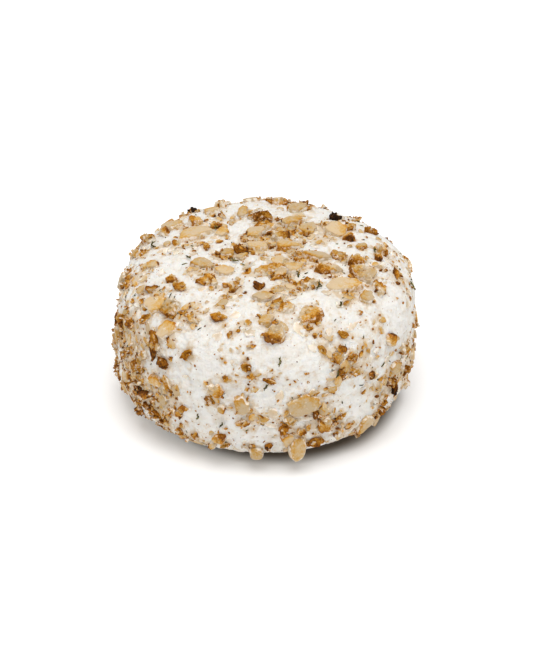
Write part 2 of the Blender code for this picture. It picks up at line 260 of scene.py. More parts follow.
# The longest piece that sits on the relief, where longer ones bridge it
FOLLOWS_RELIEF = 2.4 * MM
# Edges of the nut pieces that turn by more than this look crisp
SHARP = radians(28)

# Colours as the eye sees them, red, green and blue from 0 to 255
CURD = (242, 239, 233)
CURD_SHADE = (234, 227, 216)
NUT_DUST = (212, 180, 134)
FINE_SPECK = (150, 88, 28)
PALE_KERNEL = (195, 172, 138)
TAN_KERNEL = (194, 156, 92)
GOLDEN_SKIN = (187, 132, 42)
SKIN_BROWN = (162, 103, 20)
DARK_BROWN = (114, 64, 12)
BLACK_BROWN = (42, 26, 12)
HERB_GREEN = (96, 88, 44)
HERB_DARKEST, HERB_BRIGHTEST = 0.45, 2.0
FLOOR_WHITE = (252, 252, 252)
# Painted shadow on the floor round the cheese's foot
FLOOR_PAINTED_SHADOW = (120, 108, 95)

# The smaller things that the solid leaves out. The higher a power is, the more of them are short.
SMALLER, SMALLER_SHORTEST, SMALLER_LONGEST, SMALLER_POWER = 1600, 0.7, 3.0, 1.8
# How far they stand out, as a share of what fused ones do
SUNK = 0.54
# Splinters lie on pieces longer than the first length, so many for each mm, none longer than the second
SPLINTERED, SPLINTER_LONGEST = 2.0 * MM, 2.0 * MM
SPLINTERS = {"kernel": 0.35, "chunk": 1.0, "skin": 0.5, "dark": 0.6}
FILMS, FILM_LENGTH, FILM_STAND = 520, (1.2, 4.2), 0.14 * MM
CRUMBS, CRUMB_SHORTEST, CRUMB_LONGEST, CRUMB_POWER = 5600, 0.22, 0.85, 2.6
# The share of the crumbs that lie beside a piece, and how far from its middle, as shares of its radius
CRUMBS_BY_PIECES, CRUMB_AWAY = 0.6, (0.8, 2.2)
# A crumb's sides, its rings as (share of the reach, share of the size above the skin), its tip's height,
# the spans that its browning is drawn from, and how smeared it is with curd
CRUMB_SIDES, CRUMB_RINGS, CRUMB_TIP = 5, ((1.0, -0.2), (0.9, 0.12)), 0.28
CRUMB_BROWNING, CRUMB_SMEAR = ((-0.5, 0.1), (0.1, 0.7), (0.3, 1.1)), 0.15
HERBS, HERB_LENGTH, HERB_WIDTH = 330, (0.7, 2.0), 0.30 * MM
# A sliver's steps from end to end, how far its ridge rises and how far its edges sink
SLIVER_STEPS, SLIVER_RISE, SLIVER_SINK = 3, 0.20 * MM, 0.12 * MM
# Sprigs of herb with places of their own: (azimuth, slope, length in mm, turn). The leaves of each are
# (turn from the stem, place along it, length), the last two as shares of the sprig's length.
SPRIGS = (
    (-131, 52, 3.2, 70), (-70, 53, 3.0, 20), (38, 48, 4.0, 40), (-103, 35, 3.0, 10), (-55, 67, 2.4, 20),
    (33, 59, 2.0, 60), (84, 23, 2.2, 80), (0, 13, 1.8, 60), (27, 14, 1.8, 70), (5, 22, 2.2, 80),
    (-16, -6, 1.6, 60), (-25, -4, 1.8, 80), (39, 37, 1.6, 40), (94, 39, 1.8, 0), (-81, 49, 1.8, 30),
)
SPRIG_LEAVES = ((0, 0.0, 1.0), (40, 0.15, 0.5), (-50, -0.2, 0.4))
SPRIG_LIFT, SPRIG_WIDTH = 0.6 * MM, 0.36 * MM
# Pieces browner or paler than their kind: (azimuth, slope, how much browner)
BROWNER = (
    (-142, 33, 0.9), (137, 41, 0.9), (-47, 19, 0.35), (66, 41, -0.45), (79, 45, -0.2), (3, 31, -0.2),
    (-175, 55, -0.4), (14, 60, 0.1),
)
# How near in radians a direction has to be to be one of those
SAME_PLACE = 0.01
# How much browner pieces are for each step by which they crowd more than the second value, partly as
# browner nut and partly as painted shade where crowded pieces shade each other
CROWD_BROWNING_AND_SHADE, CROWDED = 0.14, 2
# The crowding at which every bit that is tried stays
FULL_CROWD = 4
# How much more the smaller bits keep to where pieces crowd, and patches where they are fewer, each
# (azimuth, slope, size in degrees, how many times the usual number)
GATHERED = 1.35
SPARSER = ((80, 10, 45, 0.3), (-125, 60, 32, 0.4), (85, 50, 25, 0.5))


def linear(colour, times=1.0):
    """Linear light for a colour given as the eye sees it, made so many times as bright, and its alpha."""
    shares = [channel / 255 for channel in colour]
    light = [share / 12.92 if share <= 0.04045 else ((share + 0.055) / 1.055) ** 2.4 for share in shares]
    return (*(times * channel for channel in light), 1.0)


def smooth_step(low, high, value):
    share = np.clip((value - low) / (high - low), 0, 1)
    return share * share * (3 - 2 * share)


def mesh_object(name, points, faces, layers=(), smooth=True, sharp=False):
    """An object of these arrays. layers are (name, a number for each point)."""
    mesh = bpy.data.meshes.new(name)
    mesh.from_pydata([tuple(point) for point in points], [], faces)
    if smooth:
        mesh.shade_smooth()
    if sharp:
        mesh.set_sharp_from_angle(angle=SHARP)
    for layer_name, values in layers:
        layer = mesh.attributes.new(layer_name, "FLOAT", "POINT")
        layer.data.foreach_set("value", np.array(values, dtype=np.float32))
    obj = bpy.data.objects.new(name, mesh)
    bpy.context.scene.collection.objects.link(obj)
    return obj


def profile_slopes(count):
    """Slopes from the foot to the top, spaced evenly along the profile."""
    slopes = np.linspace(-pi / 2, pi / 2, PROFILE_SAMPLES)
    points = [skin_profile(slope) for slope in slopes]
    steps = np.hypot(*np.diff(np.array(points), axis=0).T)
    along = np.concatenate([[0], np.cumsum(steps)])
    return np.interp(np.linspace(0, along[-1], count), along, slopes)


def skin_profile(slope):
    """(distance from the axis, height over the widest level) of the plain drum's profile."""
    rise, power = (RISE, SHOULDER_POWER) if slope >= 0 else (DROP, FOOT_POWER)
    reach = (abs(cos(slope) / RADIUS) ** power + abs(sin(slope) / rise) ** power) ** (-1 / power)
    return reach * cos(slope), reach * sin(slope)


def relief(point):
    """How far the curd's surface stands out here: soft creases, finer smears and grain."""
    warp = noise.noise_vector(point / WARP_SIZE) * WARP_SHARE
    crease = noise.noise(point / CREASE_SIZE + warp)
    squeezed = Vector([along * times for along, times in zip(point, SMEAR_SQUEEZE)])
    smear = 0.5 - 2 * abs(noise.noise(squeezed / SMEAR_SIZE + warp * 2))
    grain = noise.noise(point / GRAIN_SIZE)
    return CREASE_HEIGHT * (0.5 - 2 * abs(crease)) + SMEAR_HEIGHT * smear + GRAIN_HEIGHT * grain


def curd_seat(direction):
    """The same as seat, on the curd's own relief."""
    point, level, uphill, normal = seat(direction)
    return point + normal * relief(point), level, uphill, normal


def curd_faces(last):
    """Quads between the rows of points, and a fan of triangles at the base and at the top, point last."""
    faces = []
    for row in range(OVER - 1):
        start = 1 + row * AROUND
        for turn in range(AROUND):
            after = (turn + 1) % AROUND
            faces.append((start + turn, start + after, start + AROUND + after, start + AROUND + turn))
    top_row = last - AROUND
    for turn in range(AROUND):
        after = (turn + 1) % AROUND
        faces.append((0, 1 + after, 1 + turn))
        faces.append((last, top_row + turn, top_row + after))
    return faces


def make_curd(walnuts):
    """The cheese itself, raised a little round each piece that was pressed into it."""
    slopes = profile_slopes(OVER + 2)[1:-1]
    directions = [
        direction_of(2 * pi * turn / AROUND, slope) for slope in slopes for turn in range(AROUND)
    ]
    directions = [Vector((0, 0, -1)), *directions, Vector((0, 0, 1))]
    places = kdtree.KDTree(len(walnuts))
    for index, walnut in enumerate(walnuts):
        places.insert(skin_point(walnut[1]), index)
    places.balance()
    points, dust = [], []
    for direction in directions:
        point = skin_point(direction)
        collar, stain = 0.0, 0.0
        if point.z > 0:
            for _, index, away in places.find_range(point, PIECE_REACH):
                radius = (walnuts[index][2] + walnuts[index][3]) / 4
                width = COLLAR_WIDTH + radius * COLLAR_SHARE
                collar += max(0, 1 - abs(away - radius * COLLAR_PLACE) / width)
                stain += max(0, 1 - away / (radius * STAIN_SHARE + STAIN_WIDTH))
            point = point + direction * (relief(point) + COLLAR_HEIGHT * min(collar, 1.0))
            point.z = max(point.z, 0)
        points.append(point)
        crowded = DUST_FROM_CROWD * (crowding(direction) / DUSTY_CROWD) ** DUST_POWER
        dust.append(min(1.0, crowded + DUST_FROM_PIECES * stain))
    return mesh_object("curd", points, curd_faces(len(points) - 1), (("dust", dust),))


def cage(number, kind, direction, length, width, turn):
    """The form that the solid has for this piece: (stand, rim, axes, point), and its random numbers."""
    rng = Random(SEED + number)
    sides, stand, slant = KINDS[kind]
    stand *= MM * min(1.4, 0.4 + length / (5 * MM)) * rng.uniform(0.85, 1.15)
    rim = [rng.uniform(0.8, 1.12) for _ in range(sides)]
    lean = Vector((rng.uniform(-1, 1), rng.uniform(-1, 1), 0)) * SLANT * slant
    point, level, uphill, normal = (seat if length > FOLLOWS_RELIEF else curd_seat)(direction)
    if kind == "hanging":
        outward = Vector((direction.x, direction.y, 0)).normalized()
        normal = (normal + outward * HANG_LEVEL + Vector((0, 0, HANG_UP))).normalized()
        uphill = normal.cross(level)
        point += outward * HANG_OUT
    axes = Matrix((level, uphill, normal)).transposed() @ Matrix.Rotation(turn, 3, "Z")
    axes = axes @ Matrix.Rotation(lean.x, 3, "X") @ Matrix.Rotation(lean.y, 3, "Y")
    return (stand, rim, np.array(axes), np.array(point)), rng


# Each kind's looks. Its rings, from the middle of the top to the root, are (share of the radius, share
# of the stand), and ROOT_REACH is the root's share of the radius. RIM_ROUGH is how ragged its rim is,
# coarse and fine.
FINE_RINGS = {
    "kernel": ((0.25, 1.0), (0.55, 1.0), (0.8, 0.98), (0.93, 0.9), (1.0, 0.66), (1.02, 0.2)),
    "hanging": ((0.25, 1.0), (0.5, 1.0), (0.72, 0.98), (0.88, 0.86), (0.97, 0.62), (1.02, 0.30)),
    "chunk": ((0.25, 1.0), (0.5, 1.0), (0.72, 0.96), (0.88, 0.86), (0.98, 0.55), (1.0, 0.12)),
    "skin": ((0.3, 0.75), (0.55, 0.85), (0.76, 0.95), (0.92, 1.0), (1.0, 0.8), (0.86, 0.3)),
    "dark": ((0.25, 0.95), (0.5, 0.9), (0.72, 0.8), (0.9, 0.85), (1.0, 0.6), (0.84, 0.2)),
    "film": ((0.3, 1.0), (0.6, 0.9), (0.85, 0.6), (1.0, 0.1)),
}
ROOT_REACH = {"kernel": 1.03, "hanging": 1.03, "chunk": 1.03, "skin": 0.7, "dark": 0.7, "film": 1.03}
# The share of the solid's root that a piece keeps, and the share of its stand that its top never dips below
ROOT_KEPT, LOWEST_TOP = 0.9, 0.05
RIM_ROUGH = {
    "kernel": (0.35, 0.08), "hanging": (0.12, 0.02), "chunk": (0.38, 0.14), "skin": (0.5, 0.22),
    "dark": (0.5, 0.3), "film": (0.5, 0.2),
}
# How brown a piece is: at its middle, how much that changes across it, how far pieces differ, and how
# much browner it is along its rim
BROWNING = {
    "kernel": (-0.50, 0.28, 0.20, 0.35), "hanging": (-0.45, 0.15, 0.05, 0.25),
    "chunk": (-0.04, 0.60, 0.22, 0.30), "skin": (0.25, 0.40, 0.32, 0.20),
    "dark": (0.85, 0.25, 0.2, 0.1), "film": (-0.55, 0.12, 0.12, 0.30),
}
# How many straight breaks cut into a piece's outline, how near its middle they come, and how far they stay
BREAKS = {
    "kernel": (3, 0.72), "hanging": (0, 1.0), "chunk": (4, 0.6), "skin": (4, 0.55), "dark": (3, 0.6),
    "film": (3, 0.6),
}
FARTHEST_BREAK = 0.95
# How straight the rim runs from corner to corner, where 0 is round
STRAIGHT = 0.65
# How much blunter the ends of the hanging kernels are than an ellipse's
BLUNT = 0.07
# (longest piece that it is for, spokes, every how many of the rings)
FINENESS = ((1.3 * MM, 8, 2), (2.5 * MM, 14, 1), (1.0, 30, 1))
# The sizes in mm of the tops' swell, ripples, facets and crumples, and how their grain is drawn out
TOP_SWELL, TOP_RIPPLE, FACET_SIZE, CRUMPLE_SIZE = 1.3, 0.5, 1.3, 0.8
GRAIN_ALONG, GRAIN_ACROSS = 0.5, 2.2
# Where in the noise each facet finds its tilt and its tone
TILT_PLACE, TONE_PLACE = 2.3, 3.7
# How much browner one side of a piece is than its middle, how much darker facets are, and how much
# darker dips are made, as painted shade
SIDE_BROWNER, TONE_BROWNER, DIP_PAINTED_SHADE = 1.6, 0.3, 0.3
# From where to where along the radius the rim's browning and the smear of curd set in, and the share of
# that browning that is the same all round
RIM_SPAN, SMEAR_SPAN, RIM_EVEN = (0.68, 0.96), (0.45, 1.0), 0.35
# How far a piece's sides may curl up, as a share of its stand, and how much of that its middle sinks
CURL, CURL_SINK = {"skin": 0.9, "dark": 0.9, "chunk": 0.4}, 0.35


def facets(spot):
    """(height, tone) of broken facets here, both around 0. Each facet is a plane of its own tilt."""
    _, centres = noise.voronoi(spot)
    tilt = noise.noise_vector(centres[0] * TILT_PLACE)
    tone = noise.noise(centres[0] * TONE_PLACE)
    return (spot - centres[0]).dot(tilt) + 0.4 * tone, tone


def top_relief(kind, spot):
    """How far the top stands out here beyond its rings, as a share of the stand, and its tone."""
    soft = noise.noise(spot / TOP_SWELL) + 0.4 * noise.noise(spot / TOP_RIPPLE)
    grain = noise.noise(Vector((spot.x * GRAIN_ALONG, spot.y * GRAIN_ACROSS, spot.z)))
    if kind in ("kernel", "hanging", "film"):
        return 0.06 * soft + 0.06 * grain, 0.2 * soft + 0.3 * grain
    height, tone = facets(spot / FACET_SIZE)
    if kind == "chunk":
        return 0.8 * height + 0.15 * grain, 0.8 * tone + 0.3 * grain
    crumple = 0.5 - abs(noise.noise(spot / CRUMPLE_SIZE)) * 2.2
    return 0.35 * height + 0.35 * crumple + 0.2 * grain, 0.5 * tone + 0.4 * crumple + 0.4 * grain


def ragged_rim(kind, rim, spokes, mark):
    """The rim's reach at each spoke: the solid's corners, worn or torn between them."""
    corners = len(rim)
    if kind == "hanging":
        nexts = rim[1:] + rim[:1]
        rim = [(rim[index - 1] + 2 * rim[index] + nexts[index]) / 4 for index in range(corners)]
    coarse, fine = RIM_ROUGH[kind]
    reach = []
    for spoke in range(spokes):
        angle = 2 * pi * spoke / spokes
        place = spoke / spokes * corners
        here, share = int(place), place % 1
        swing = rim[here] * (1 - share) + rim[(here + 1) % corners] * share
        chord = cos(pi / corners) / cos((share - 0.5) * 2 * pi / corners)
        way = Vector((cos(angle), sin(angle), 0))
        torn = coarse * noise.noise(way * 1.7 + mark) + fine * noise.noise(way * 5 - mark)
        if kind == "hanging":
            torn += BLUNT * sin(2 * angle) ** 2
        reach.append(swing * (1 - STRAIGHT + STRAIGHT * chord) * (1 + torn))
    return reach


def broken(reach, breaks, nearest, rng):
    """The rim with straight breaks across it, drawn out again to the size it had."""
    whole = sum(reach)
    spokes = len(reach)
    for _ in range(breaks):
        facing, far = rng.uniform(0, 2 * pi), rng.uniform(nearest, FARTHEST_BREAK)
        for spoke in range(spokes):
            toward = cos(2 * pi * spoke / spokes - facing)
            if toward > 0.1:
                reach[spoke] = min(reach[spoke], far / toward)
    left = sum(reach)
    return [one * whole / left for one in reach]


def ring_faces(spokes, rings):
    """A fan round the first point, quads from ring to ring, and one face that closes the last ring."""
    faces = [(0, 1 + spoke, 1 + (spoke + 1) % spokes) for spoke in range(spokes)]
    for ring in range(rings - 1):
        inner, outer = 1 + ring * spokes, 1 + (ring + 1) * spokes
        for spoke in range(spokes):
            after = (spoke + 1) % spokes
            faces.append((inner + spoke, outer + spoke, outer + after, inner + after))
    last = 1 + (rings - 1) * spokes
    faces.append(tuple(last + spoke for spoke in reversed(range(spokes))))
    return faces


def middle_browning(kind, direction, rng):
    """How brown a piece is at its middle."""
    middle, _, differ, _ = BROWNING[kind]
    middle += rng.uniform(-differ, differ)
    if kind in ("chunk", "skin"):
        # Crowded pieces are made browner: partly browner nut, partly painted shade where they shade each
        # other
        middle += CROWD_BROWNING_AND_SHADE * max(0, crowding(direction) - CROWDED)
    for azimuth, slope, more in BROWNER:
        if direction.angle(direction_of(radians(azimuth), radians(slope))) < SAME_PLACE:
            middle += more
    return middle


def fine_piece(number, kind, direction, length, width, turn, lift=0.0):
    """Points, faces and layers of one piece, finer than the solid's but on the same form."""
    form = "kernel" if kind == "film" else kind
    (stand, rim, axes, point), rng = cage(number, form, direction, length, width, turn)
    if kind == "film":
        stand = FILM_STAND
    elif number >= FUSED_PIECES:
        stand *= SUNK
    point = point + axes @ np.array((0, 0, lift))
    # Its own place in the noise
    mark = Vector((number * 7.3 % 50, number * 1.7 % 50, number * 3.1 % 50))
    spokes, skip = next((spokes, skip) for longest, spokes, skip in FINENESS if length <= longest)
    reach = broken(ragged_rim(kind, rim, spokes, mark), *BREAKS[kind], rng)
    root = ROOT_DEPTH + (HANG_OUT if kind == "hanging" else 0)
    rings = (*FINE_RINGS[kind][::skip], (ROOT_REACH[kind], -ROOT_KEPT * (root + lift) / stand))
    middle = middle_browning(kind, direction, rng)
    _, across, _, rim_browning = BROWNING[kind]
    piece_tone = rng.uniform(0, 1)
    lean_x, lean_y = rng.uniform(-1, 1), rng.uniform(-1, 1)
    skin_side = rng.uniform(0, 2 * pi)
    curl = rng.uniform(-0.3, 1) * CURL.get(kind, 0)
    points, browning, tone, smear = [], [], [], []
    for share, height in ((0, rings[0][1]), *rings):
        for spoke in range(spokes if share else 1):
            angle = 2 * pi * spoke / spokes
            x, y = share * reach[spoke] * cos(angle), share * reach[spoke] * sin(angle)
            flat = Vector((x * length / 2, y * width / 2, 0)) / MM
            rough, shade = top_relief(kind, flat + mark)
            rise = height
            if height > 0:
                rough += curl * (y * y - CURL_SINK)
                rise = max(height + rough * min(1, height * 1.5), LOWEST_TOP)
            spot = point + axes @ np.array((flat.x * MM, flat.y * MM, rise * stand))
            spot[2] = max(spot[2], FLOOR_GAP)
            points.append(spot)
            browned = middle + across * (x * lean_x + y * lean_y) * SIDE_BROWNER
            # The dips of a piece are made darker: painted shade
            browned += TONE_BROWNER * shade - DIP_PAINTED_SHADE * rough
            edge = smooth_step(*RIM_SPAN, share) * (RIM_EVEN + (1 - RIM_EVEN) * cos(angle - skin_side))
            browning.append(browned + rim_browning * edge)
            tone.append(piece_tone + 0.25 * shade)
            smear.append(smooth_step(*SMEAR_SPAN, share) * (height < 0.9))
    return points, ring_faces(spokes, len(rings)), (browning, tone, smear)


LAYERS = ("browning", "tone", "smear")
# The objects made of such pieces, and the kinds in each
GROUPS = {
    "kernel_flakes": ("kernel", "hanging"), "nut_chunks": ("chunk",), "skin_chips": ("skin", "dark"),
    "kernel_films": ("film",),
}


def joined(name, parts, smooth):
    """One object of many (points, faces, layers)."""
    points, faces, values = [], [], ([], [], [])
    for part_points, part_faces, part_values in parts:
        start = len(points)
        points += part_points
        faces += [tuple(start + corner for corner in face) for face in part_faces]
        for all_values, more in zip(values, part_values):
            all_values += more
    layers = tuple(zip(LAYERS, values))
    return mesh_object(name, points, faces, layers, smooth=smooth, sharp=smooth)


def random_direction(rng, gathered=1.0):
    """A direction to a random place on the skin, likelier where the pieces crowd."""
    while True:
        direction = random_way(rng)
        wanted = (crowding(direction) / FULL_CROWD) ** gathered
        if direction.z > LOWEST and rng.random() < wanted:
            return direction


def by_a_piece(rng, walnuts):
    """A direction to a place just outside one of the pieces, where its crumbs lie."""
    while True:
        _, direction, length, width = rng.choice(walnuts)[:4]
        away = (length + width) / 4 * rng.uniform(*CRUMB_AWAY) / RADIUS
        aside = Vector((rng.gauss(0, 1), rng.gauss(0, 1), rng.gauss(0, 1))).normalized()
        near = (direction + aside * away).normalized()
        if near.z > LOWEST:
            return near


def turned(level, uphill, turn):
    """The direction along the skin at this turn from level."""
    return level * cos(turn) + uphill * sin(turn)


def film_pieces():
    """Very pale, thin flakes that lie almost flush in the curd."""
    rng = Random(SEED + 3)
    made = []
    for _ in range(FILMS):
        length = rng.uniform(*FILM_LENGTH) * MM
        direction = random_direction(rng)
        made.append(("film", direction, length, length * rng.uniform(0.5, 0.9), rng.uniform(0, pi)))
    return made


def kept_share(direction):
    """The share of the smaller pieces that stay here, lower on the sparser patches."""
    share = 1
    for azimuth, slope, size, times in SPARSER:
        away = direction.angle(direction_of(radians(azimuth), radians(slope))) / radians(size)
        share *= 1 + (times - 1) * max(0, 1 - away * away)
    return share


def smaller_pieces():
    """More small bits of nut, most of them where the pieces crowd."""
    rng = Random(SEED + 4)
    made = []
    for _ in range(SMALLER):
        direction = random_direction(rng, GATHERED)
        if rng.random() > kept_share(direction):
            continue
        size = rng.random() ** SMALLER_POWER
        length = (SMALLER_SHORTEST + (SMALLER_LONGEST - SMALLER_SHORTEST) * size) * MM
        kind = rng.choices(("kernel", "chunk", "skin"), (0.4, 0.25, 0.35))[0]
        made.append((kind, direction, length, length * rng.uniform(0.4, 0.85), rng.uniform(0, pi)))
    return made


def splinters_of(walnuts):
    """Bits broken off the larger pieces, lying on them and against them: as pieces are, and its lift."""
    rng = Random(SEED + 5)
    made = []
    for kind, direction, length, width, _ in walnuts:
        if length < SPLINTERED or kind == "hanging":
            continue
        _, level, uphill, _ = seat(direction)
        stand = KINDS[kind][1] * MM
        nearest = 0.8 if kind == "kernel" else 0.15
        for _ in range(round(SPLINTERS[kind] * length / MM)):
            away, angle = rng.uniform(nearest, 1.05), rng.uniform(0, 2 * pi)
            aside = turned(level, uphill, angle)
            near = (direction + aside * away * (length + width) / 4 / RADIUS).normalized()
            size = min(length * rng.uniform(0.2, 0.45), SPLINTER_LONGEST)
            bit = rng.choices(("kernel", "chunk", "skin"), (0.25, 0.25, 0.5))[0]
            lift = stand * max(0, 1 - away * away)
            made.append((bit, near, size, size * rng.uniform(0.35, 0.8), angle, lift))
    return made


def crumb_faces():
    """The upright sides of a crumb and the slopes up to its tip."""
    sides = range(CRUMB_SIDES)
    nexts = [(side + 1) % CRUMB_SIDES for side in sides]
    upright = [(side, nexts[side], CRUMB_SIDES + nexts[side], CRUMB_SIDES + side) for side in sides]
    return upright + [(CRUMB_SIDES + side, CRUMB_SIDES + nexts[side], 2 * CRUMB_SIDES) for side in sides]


def make_crumbs(walnuts):
    """The finest crumbs of nut: small many-sided grains, pale to dark brown."""
    rng = Random(SEED + 1)
    faces = crumb_faces()
    parts = []
    for _ in range(CRUMBS):
        beside = rng.random() < CRUMBS_BY_PIECES
        direction = by_a_piece(rng, walnuts) if beside else random_direction(rng)
        point, level, uphill, normal = curd_seat(direction)
        size = (CRUMB_SHORTEST + (CRUMB_LONGEST - CRUMB_SHORTEST) * rng.random() ** CRUMB_POWER) * MM
        turn, long_share = rng.uniform(0, pi), rng.uniform(0.4, 0.9)
        along = turned(level, uphill, turn)
        aside = normal.cross(along)
        brown = rng.choice([rng.uniform(*span) for span in CRUMB_BROWNING])
        points = []
        for share, height in CRUMB_RINGS:
            for side in range(CRUMB_SIDES):
                angle = 2 * pi * (side + rng.uniform(-0.25, 0.25)) / CRUMB_SIDES
                reach = size / 2 * share * rng.uniform(0.7, 1.25)
                offset = along * reach * cos(angle) + aside * reach * long_share * sin(angle)
                points.append(point + offset + normal * size * height)
        points.append(point + normal * size * CRUMB_TIP)
        for spot in points:
            spot.z = max(spot.z, FLOOR_GAP)
        browning = [brown + rng.uniform(-0.15, 0.15) for _ in points]
        tone, smear = [rng.random()] * len(points), [CRUMB_SMEAR] * len(points)
        parts.append((points, faces, (browning, tone, smear)))
    return joined("nut_crumbs", parts, False)


def sliver(rng, middle, along, normal, length, width):
    """(points, faces) of one thin, bent sliver."""
    aside = normal.cross(along)
    bend = rng.uniform(-0.35, 0.35)
    points, faces = [], []
    for step in range(SLIVER_STEPS + 1):
        share = step / SLIVER_STEPS - 0.5
        ridge = middle + along * share * length + aside * bend * length * (share * share)
        ridge += normal * SLIVER_RISE * (1 - abs(share))
        half = width / 2 * (0.4 + 0.6 * cos(share * pi)) * rng.uniform(0.7, 1.2)
        sink = normal * SLIVER_SINK
        points += [ridge - aside * half - sink, ridge + normal * half * 0.7, ridge + aside * half - sink]
    for step in range(SLIVER_STEPS):
        low = step * 3
        faces += [(low, low + 3, low + 4, low + 1), (low + 1, low + 4, low + 5, low + 2)]
    return points, faces


def make_herbs():
    """Slivers of dried herb, thin and dark green, and a few sprigs of them."""
    rng = Random(SEED + 2)
    slivers = []
    for _ in range(HERBS):
        point, level, uphill, normal = curd_seat(random_direction(rng))
        length = rng.uniform(*HERB_LENGTH) * rng.uniform(0.4, 1) * MM
        along = turned(level, uphill, rng.uniform(0, pi))
        slivers.append(sliver(rng, point, along, normal, length, HERB_WIDTH))
    for azimuth, slope, length, turn in SPRIGS:
        point, level, uphill, normal = curd_seat(direction_of(radians(azimuth), radians(slope)))
        point += normal * SPRIG_LIFT
        stem = turned(level, uphill, radians(turn))
        for aside_turn, place, share in SPRIG_LEAVES:
            along = turned(level, uphill, radians(turn + aside_turn))
            middle = point + stem * length * place * MM + normal * rng.uniform(-0.2, 0.3) * MM
            slivers.append(sliver(rng, middle, along, normal, length * share * MM, SPRIG_WIDTH))
    parts = []
    for points, faces in slivers:
        count = len(points)
        parts.append((points, faces, ([0.0] * count, [rng.random()] * count, [0.0] * count)))
    return joined("herb_slivers", parts, False)


def new_material(name):
    material = bpy.data.materials.new(name)
    material.use_nodes = True
    tree = material.node_tree
    return material, tree, tree.nodes["Principled BSDF"]


def add_node(tree, kind, inputs, **settings):
    """A node of this kind. Each of its inputs is linked to a socket or set to a value."""
    node = tree.nodes.new("ShaderNode" + kind)
    for name, value in settings.items():
        setattr(node, name, value)
    for name, value in inputs.items():
        if isinstance(value, bpy.types.NodeSocket):
            tree.links.new(value, node.inputs[name])
        else:
            node.inputs[name].default_value = value
    return node


def millimetres(tree):
    """The surface's own coordinates, in millimetres."""
    where = add_node(tree, "TexCoord", {}).outputs["Object"]
    return add_node(tree, "VectorMath", {0: where, "Scale": 1 / MM}, operation="SCALE").outputs[0]


def noise_node(tree, where, size, detail=3.0, roughness=0.55):
    inputs = {"Vector": where, "Scale": 1 / size, "Detail": detail, "Roughness": roughness}
    return add_node(tree, "TexNoise", inputs).outputs["Fac"]


def ranged(tree, value, low, high, to_low=0.0, to_high=1.0):
    inputs = {"Value": value, "From Min": low, "From Max": high, "To Min": to_low, "To Max": to_high}
    return add_node(tree, "MapRange", inputs, interpolation_type="SMOOTHSTEP").outputs["Result"]


def math_node(tree, operation, *values):
    return add_node(tree, "Math", dict(enumerate(values)), operation=operation).outputs[0]


def mix_colours(tree, share, first, second, blend="MIX"):
    """Of the node's many sockets, 6 and 7 take the colours, and output 2 gives their mix."""
    inputs = {0: share, 6: first, 7: second}
    return add_node(tree, "Mix", inputs, data_type="RGBA", blend_type=blend).outputs[2]


def layer_value(tree, name):
    return add_node(tree, "Attribute", {}, attribute_name=name).outputs["Fac"]


def bump(tree, shader, height, distance, strength):
    node = add_node(tree, "Bump", {"Height": height, "Distance": distance, "Strength": strength})
    tree.links.new(node.outputs["Normal"], shader.inputs["Normal"])


def finish(shader, roughness, gloss=0.1, subsurface=0.0, radius=(1.0, 1.0, 1.0), depth=MM):
    """Sets what is the same all over a surface: how it shines and how far light goes into it."""
    values = {"Roughness": roughness, "Specular IOR Level": gloss, "Subsurface Weight": subsurface}
    values.update({"Subsurface Radius": radius, "Subsurface Scale": depth})
    for name, value in values.items():
        shader.inputs[name].default_value = value


# The sizes of the curd's patterns in mm: soft clouds, the film of nut dust, specks and chalky bumps
CLOUD_SIZE, DUST_SIZE, SPECK_APART, CHALK_SIZE = 3.2, 1.6, 0.75, 1.5
# The spans of noise that they set in over
CLOUD_SPAN, DUST_SPAN = (0.42, 0.68), (0.52, 0.80)
# How much wider the film of dust is where pieces crowd, and how much it covers at most
DUST_WIDER, DUST_COVER = 0.38, 0.66
# The share of the speck cells that have one, usually and more where pieces crowd, how far specks reach,
# as shares of a cell, and how much they cover
SPECKS, MORE_SPECKS, SPECK_REACH, SPECK_COVER = 0.14, 0.30, (0.07, 0.2), 0.8
CHALK_DEPTH = 1.3 * MM


def curd_specks(tree, where, crowd):
    """How much the fine specks of nut cover here."""
    cells = add_node(tree, "TexVoronoi", {"Vector": where, "Scale": 1 / SPECK_APART})
    picked = add_node(tree, "SeparateColor", {"Color": cells.outputs["Color"]})
    wanted = math_node(tree, "MULTIPLY_ADD", crowd, MORE_SPECKS, SPECKS)
    chosen = math_node(tree, "LESS_THAN", picked.outputs["Red"], wanted)
    reach = ranged(tree, picked.outputs["Green"], 0.0, 1.0, *SPECK_REACH)
    dot = math_node(tree, "LESS_THAN", cells.outputs["Distance"], reach)
    speck = math_node(tree, "MULTIPLY", chosen, dot)
    return math_node(tree, "MULTIPLY", speck, SPECK_COVER)


def curd_material():
    """White curd with a film of nut dust where the pieces crowd, fine specks and a chalky grain."""
    material, tree, shader = new_material("goat_curd")
    where = millimetres(tree)
    crowd = layer_value(tree, "dust")
    cloud = ranged(tree, noise_node(tree, where, CLOUD_SIZE, 4, 0.6), *CLOUD_SPAN)
    shade = mix_colours(tree, cloud, linear(CURD), linear(CURD_SHADE))
    film = noise_node(tree, where, DUST_SIZE, 5, 0.68)
    wider = math_node(tree, "MULTIPLY", crowd, DUST_WIDER)
    film = ranged(tree, math_node(tree, "ADD", film, wider), *DUST_SPAN)
    film = math_node(tree, "MULTIPLY", film, DUST_COVER)
    colour = mix_colours(tree, film, shade, linear(NUT_DUST))
    speck = curd_specks(tree, where, crowd)
    colour = mix_colours(tree, speck, colour, linear(FINE_SPECK))
    tree.links.new(colour, shader.inputs["Base Color"])
    finish(shader, 0.62, gloss=0.35, subsurface=0.35, radius=(1.0, 0.85, 0.65), depth=1.2 * MM)
    bump(tree, shader, noise_node(tree, where, CHALK_SIZE, 6, 0.68), CHALK_DEPTH, 0.9)
    return material


